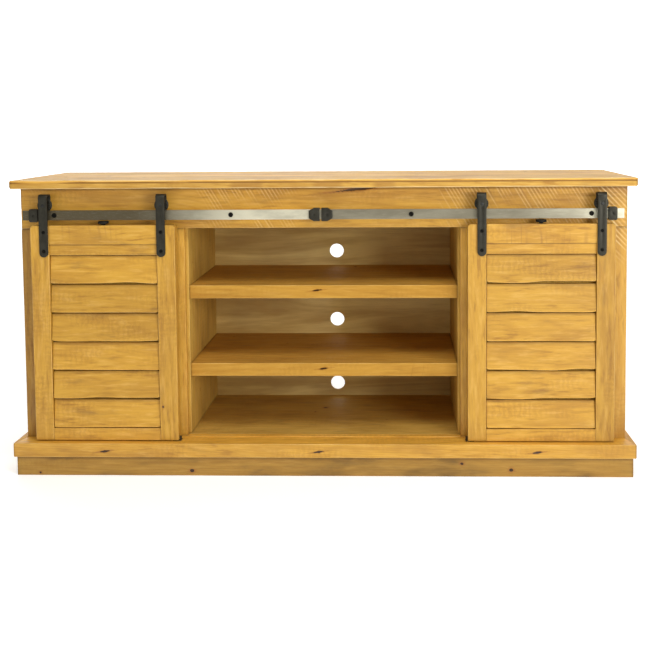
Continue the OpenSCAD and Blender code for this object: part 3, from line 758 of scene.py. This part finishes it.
def front_edge(low, high):
    """The top's worn front edge: a pale arris painted as a highlight, a long split under it, and three
    rough brown places.
    """
    z_line, half_split = high[2] - 7.5 * MM, 1.4 * MM
    rough_places = ((-0.25, -0.166), (-0.017, 0.059), (0.152, 0.208))

    def split_at(x, z):
        there = smooth(noise(x * 5, seed=77) + 0.3 * smooth(x, -0.7, -0.4), 0.2, 0.5)
        return there * (np.abs(z - z_line) < half_split + 0.05 * MM)

    def saw(x, z, normal, seed):
        front = facing_front(normal)
        split = front * split_at(x, z)
        rough = sum(smooth(x, a - 0.02, a + 0.01) * (1 - smooth(x, b - 0.01, b + 0.02))
                    for a, b in rough_places)
        return -np.maximum(split, 0.75 * rough * front * (z < z_line)), SPLIT_DEPTH * split

    def tone(p, normal):
        # Painted highlight: the front face above the split and its upper arris are made paler.
        arris_highlight = (p[:, 2] > z_line) * (normal[:, 1] < -0.1) * (normal[:, 2] < 0.9)
        split = split_at(p[:, 0], p[:, 2]) * facing_front(normal)
        return joint_shade(-0.85, high[1])(p, normal) + 2.2 * arris_highlight - 2.4 * split
    return {"saw": saw, "tone": tone, "lines": {2: (z_line - half_split, z_line + half_split)}}


def plank_ends(low, high, y_edge):
    """Rounds an outer plank's plan corners at y_edge, and eases both its ends, the left one more."""
    end_radius = {low[0]: 7 * MM, high[0]: 4.5 * MM}

    def shape(p):
        for x, radius in end_radius.items():
            if y_edge is not None:
                p = round_corner(p, 0, x, 1, y_edge, 13 * MM)
            for z in (low[2], high[2]):
                p = round_corner(p, 0, x, 2, z, radius)
        return p
    return shape


for part, knots in (("front", 1), ("middle", 3), ("back", 4)):
    low, high = span("top_plank_" + part)
    if part == "front":
        y_edge, extras = low[1], front_edge(low, high)
    elif part == "middle":
        y_edge, extras = None, {"tone": joint_shade(0.5, low[1], high[1])}
    else:
        y_edge, extras = high[1], {"tone": joint_shade(0.0, low[1])}
    cad_board("top_plank_" + part, "cabinet", TOP_PINE, "top_pine", step=(5 * MM, 4 * MM, 3 * MM),
              r=4 * MM, wave=0.8 * MM, knots=knots, shape=plank_ends(low, high, y_edge), **extras)

for side in SIDES:
    from_cad("side_panel_" + side, "cabinet", FRAME_PINE, "frame_pine", 1.5 * MM, along=2, planks=4)
    cad_board("divider_" + side, "cabinet", INNER_PINE, "inner_pine", along=2, step=8 * MM,
              wave=0.4 * MM, knots=4)
    # The left outer stile is darker as painted shade: the doors and the light from the right leave it in
    # shadow.
    cad_board("outer_stile_" + side, "cabinet", FRAME_PINE, "frame_pine", along=2,
              step=(1.8 * MM, 8 * MM, 1.8 * MM), saw=stile_saw(0.9 if side == "right" else 0.15),
              tone=-0.5 if side == "right" else -1.5)
    cad_board("centre_stile_" + side, "cabinet", FRAME_PINE, "frame_pine", along=2, step=4 * MM,
              tone=-0.1)
    cad_board("side_shelf_" + side, "cabinet", INNER_PINE, "inner_pine", step=8 * MM, knots=5)

cad_board("bottom_panel", "cabinet", INNER_PINE, "inner_pine", step=9 * MM, wave=0.4 * MM, knots=8)
back_middle_y = sum(corner.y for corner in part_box("back_panel")) / 2
from_cad("back_panel", "cabinet", BACK_PLY, "back_ply", 0.4 * MM,
         tone=lambda co: 1.0 * (co[:, 1] > back_middle_y))
from_cad("back_nailer", "cabinet", INNER_PINE, "inner_pine", 1.5 * MM)
cad_board("header", "cabinet", FRAME_PINE, "frame_pine", step=(3 * MM, 14 * MM, 2.4 * MM), r=2 * MM,
          tone=header_painted_shadow, saw=header_saw, slots=[(0.115, 0.8155, 0.07, 4.8 * MM, 0.97)])
# The bottom rail is painted paler than the other frame boards, as painted light on it.
cad_board("bottom_rail", "cabinet", FRAME_PINE, "frame_pine", step=4 * MM, tone=0.9)
for part, x_slot, drop in (("upper", -0.018, 15 * MM), ("lower", 0.0, 16 * MM)):
    z_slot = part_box("shelf_" + part)[1].z - drop
    cad_board("shelf_" + part, "cabinet", SHELF_PINE, "frame_pine", r=2 * MM, knots=2,
              step=(4 * MM, 7 * MM, 1.8 * MM), slots=[(x_slot, z_slot, 0.014, 2.2 * MM, 0)],
              saw=chatter_saw(0.9, 0.05), tone=-0.7)


# ---------------------------------------------------------------- base

def mitred(p):
    """Slopes both ends of the ledge's front board back to the side panels' line."""
    half_out, half_in = ledge_high[0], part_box("side_panel_right")[1].x
    t = (p[:, 1] - ledge_low[1]) / (ledge_high[1] - ledge_low[1])
    limit = half_out + (half_in - half_out) * np.clip(t, 0, 1)
    p[:, 0] = p[:, 0] * limit / half_out
    return p


def plinth_painted_shadow(p, normal):
    """Painted shadow: the plinth darkens in a band just under the ledge, which overhangs it, and is
    darker overall.
    """
    return -1.4 - 1.8 * smooth(p[:, 2], ledge_low[2] - 8 * MM, ledge_low[2] - 3 * MM)


def ledge_painted_light(p, normal):
    """Painted light: the ledge's tread is paler than its front, as if lit from above."""
    return -0.1 + 1.7 * (normal[:, 2] > 0.9)


board("ledge_front_board_finish", ledge_low, ledge_high, "cabinet", FRAME_PINE, "frame_pine",
      "ledge_front_board", step=(3.5 * MM, 5 * MM, 2 * MM), r=2.5 * MM, tone=ledge_painted_light,
      slots=[(x, ledge_low[2] + 17.5 * MM, 0.015, 2.6 * MM, 0) for x in (-0.621, -0.010, 0.607)],
      shape=mitred)
for side in SIDES:
    from_cad("ledge_" + side, "cabinet", FRAME_PINE, "frame_pine", 2.0 * MM, along=1)
    cad_board("plinth_" + side, "cabinet", PLINTH_PINE, "frame_pine", along=1, step=4 * MM, knots=2,
              tone=-0.7)
for part in ("front", "back"):
    cad_board("plinth_" + part, "cabinet", PLINTH_PINE, "frame_pine", step=4 * MM, knots=2,
              knot_at=[(0.534, -8 * MM, 4.5 * MM), (0.395, 10 * MM, 4 * MM)], tone=plinth_painted_shadow)
from_cad("plinth_blocks", "cabinet", INNER_PINE, "inner_pine", 1.0 * MM)


# ---------------------------------------------------------------- rail

def rail_tone(side):
    """The left half turns brown towards its left end and clears towards the middle; the right half is
    brownish near the middle and bright towards its right end.
    """
    def tone(co):
        x = np.abs(co[:, 0])
        if side == "left":
            return smooth(x, 0.16, 0.55)
        return 0.7 * (1 - smooth(x, 0.55, 0.86))
    return tone


def bar(name, node, tone):
    """A flat bar with eased edges, cut finely along its length so that its patina can change."""
    low, high = span(node)
    centre, half = (low + high) / 2, (high - low) / 2
    r = 0.8 * MM
    grid = [cuts(half[0], 6 * MM, r), cuts(half[1], 2 * MM, r), cuts(half[2], 4 * MM, r)]
    p, quads = box_grid(grid)
    core = np.clip(p, -half + r, half - r)
    d = p - core
    p = core + d / np.maximum(np.linalg.norm(d, axis=1), 1e-9)[:, None] * r
    world_points = p + centre
    mesh = new_mesh(name, world_points, quads)
    grain, distance = grain_fields(p[:, 0], p[:, 2], p[:, 1], 2 * half, seed_of(name), ())
    zero = np.zeros(len(p))
    set_attributes(mesh, grain, np.stack([distance, zero, zero], -1), tone(world_points))
    put(name, mesh, "cabinet", RAIL_STEEL, "rail_steel", node)


for side in SIDES:
    bar("rail_" + side + "_bar", "rail_" + side, rail_tone(side))
from_cad("rail_spacers", "cabinet", BLACK_METAL, "black_metal", 0.4 * MM)
from_cad("rail_bolts", "cabinet", SCREW_BLACK, "black_metal", 0.3 * MM)
from_cad("centre_stops", "cabinet", BLACK_METAL, "black_metal", 1.2 * MM)
from_cad("end_stops", "cabinet", BLACK_METAL, "black_metal", 1.0 * MM)
from_cad("floor_guides", "cabinet", BROWN_NYLON, "black_nylon", 0.5 * MM)
from_cad("shelf_pins", "cabinet", AXLE_STEEL, "axle_steel", 0.4 * MM)


# ---------------------------------------------------------------- doors

def groove_shape(z0, y_mid):
    """Opens the guide groove along the lower edge: the strip between its two walls moves up."""
    def shape(p):
        inside = np.abs(p[:, 1] - y_mid) < GROOVE_WIDTH / 2
        reach = z0 + 2.0 * GROOVE_DEPTH
        lifted = z0 + GROOVE_DEPTH + (p[:, 2] - z0) * (reach - z0 - GROOVE_DEPTH) / (reach - z0)
        p[:, 2] = np.where(inside & (p[:, 2] < reach), lifted, p[:, 2])
        return p
    return shape


def build_door(side):
    """A framed door with six leaning slats, and the hangers and wheels that it rolls on."""
    sign, body = SIDES[side], "door_" + side
    stile_low, stile_high = span(body + "_stile_outer")
    guide_y = (stile_low[1] + stile_high[1]) / 2
    door_z0 = stile_low[2]
    groove = groove_shape(door_z0, guide_y)
    walls = {1: (guide_y - GROOVE_WIDTH / 2, guide_y + GROOVE_WIDTH / 2)}
    for part in ("outer", "inner"):
        low, high = span(f"{body}_stile_{part}")
        outer_is_high = (sign > 0) == (part == "outer")
        x_out = high[0] if outer_is_high else low[0]
        spot = [(-0.212, -0.017, 2.7 * MM)] if (side, part) == ("left", "inner") else []
        tone = -1.3 if (side, part) == ("right", "outer") else -0.6

        def outline(p, x_out=x_out, z_top=high[2]):
            return round_corner(groove(p), 0, x_out, 2, z_top, 9 * MM)

        board(f"{body}_stile_{part}_board", low, high, body, DOOR_PINE, "door_pine",
              f"{body}_stile_{part}", along=2, step=3.5 * MM, r=2 * MM, knot_at=spot, lines=walls,
              tone=tone, vary=0.15, drink=0.6, shape=outline)

    low, high = span(body + "_bottom_rail")
    board(body + "_bottom_rail_board", low, high, body, DOOR_PINE, "door_pine",
          body + "_bottom_rail", step=3 * MM, lines=walls, drink=0.6, shape=groove)

    low, high = span(body + "_top_rail")
    step_z = low[2] + STEP_FROM_LOW

    def stepped(p):
        front = 1 - smooth(p[:, 1], low[1] + 2 * MM, low[1] + 7 * MM)
        p[:, 1] = p[:, 1] + STEP_DEPTH * front * (p[:, 2] < step_z)
        return p

    # Painted shadow: a dark band just below the step, under the rail's proud upper part; the rest of the
    # rail is a little darker.
    def step_painted_shadow(p, normal):
        return -0.4 - 3.2 * (p[:, 2] < step_z) * smooth(p[:, 2], step_z - 3.5 * MM, step_z - 1 * MM)

    board(body + "_top_rail_board", low, high, body, DOOR_PINE, "door_pine",
          body + "_top_rail", step=(3 * MM, 3 * MM, 1.5 * MM), lines={2: (step_z,)}, shape=stepped,
          tone=step_painted_shadow, drink=0.6, saw=chatter_saw(1.7 if side == "right" else 0.8, z_from=step_z))

    slats_low, slats_high = span(body + "_louvres")
    field_z0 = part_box(body + "_bottom_rail")[1].z
    field_z1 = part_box(body + "_top_rail")[0].z
    slats = 6
    pitch = (field_z1 - field_z0) / slats
    thick, lean, end_gap = 10 * MM, 8 * MM, 0.8 * MM
    for i in range(slats):
        z0, z1 = field_z0 + i * pitch + 1.2 * MM, field_z0 + (i + 1) * pitch - 1.5 * MM
        seed = seed_of(f"{body}{i}")

        # The slat leans back, and its lower edge is wavy and notched where it meets the stiles
        def leaning(p, z0=z0, z1=z1, seed=seed, i=i):
            t = (p[:, 2] - z0) / (z1 - z0)
            p[:, 1] = p[:, 1] + lean * t
            ripple = 6 * MM * noise(p[:, 0] * 11, seed=seed) ** 1.6 * (0.3 if i == 0 else 1.0)
            notch = 1.5 * MM * smooth(np.abs(p[:, 0] - (slats_low[0] + slats_high[0]) / 2),
                                      0.146, 0.152)
            p[:, 2] = p[:, 2] + (ripple + notch) * (1 - smooth(t, 0.0, 0.35))
            return p

        # Painted light on each slat: a paler lower edge as painted highlight and a darker top as painted
        # shadow of the slat above; the whole slat is a little darker.
        def slat_painted_light(p, normal, z0=z0, z1=z1):
            t = (p[:, 2] - z0) / (z1 - z0)
            return 0.7 * (1 - smooth(t, 0.0, 0.12)) - 0.5 - 1.6 * smooth(t, 0.86, 1.0)

        board(f"{body}_louvre_{i + 1}", (slats_low[0] + end_gap, slats_low[1], z0),
              (slats_high[0] - end_gap, slats_low[1] + thick, z1), body, DOOR_PINE, "door_pine",
              *([body + "_louvres"] if i == 0 else []), step=(3.5 * MM, 3 * MM, 2.5 * MM),
              r=2.2 * MM, wave=0.7 * MM, tone=slat_painted_light, vary=0.55, drink=0.2, shape=leaning,
              saw=chatter_saw(0.2))
    cad_board(body + "_backer", body, INNER_PINE, "inner_pine", along=2, step=8 * MM,
              wave=0.3 * MM, r=0.8 * MM)

    from_cad(body + "_hangers", body, BLACK_METAL, "black_metal", 0.7 * MM)
    from_cad(body + "_hanger_screws", body, SCREW_BLACK, "black_metal", 0.3 * MM)
    from_cad(body + "_axles", body, AXLE_STEEL, "axle_steel", 0.4 * MM)
    from_cad(body + "_jump_disc", body, BLACK_NYLON, "black_nylon", 0.8 * MM)
    for part in ("outer", "inner"):
        wheel = f"wheel_{side}_{part}"
        from_cad(wheel, wheel, WHEEL_STEEL, "wheel_steel", 0.4 * MM)


for side in SIDES:
    build_door(side)
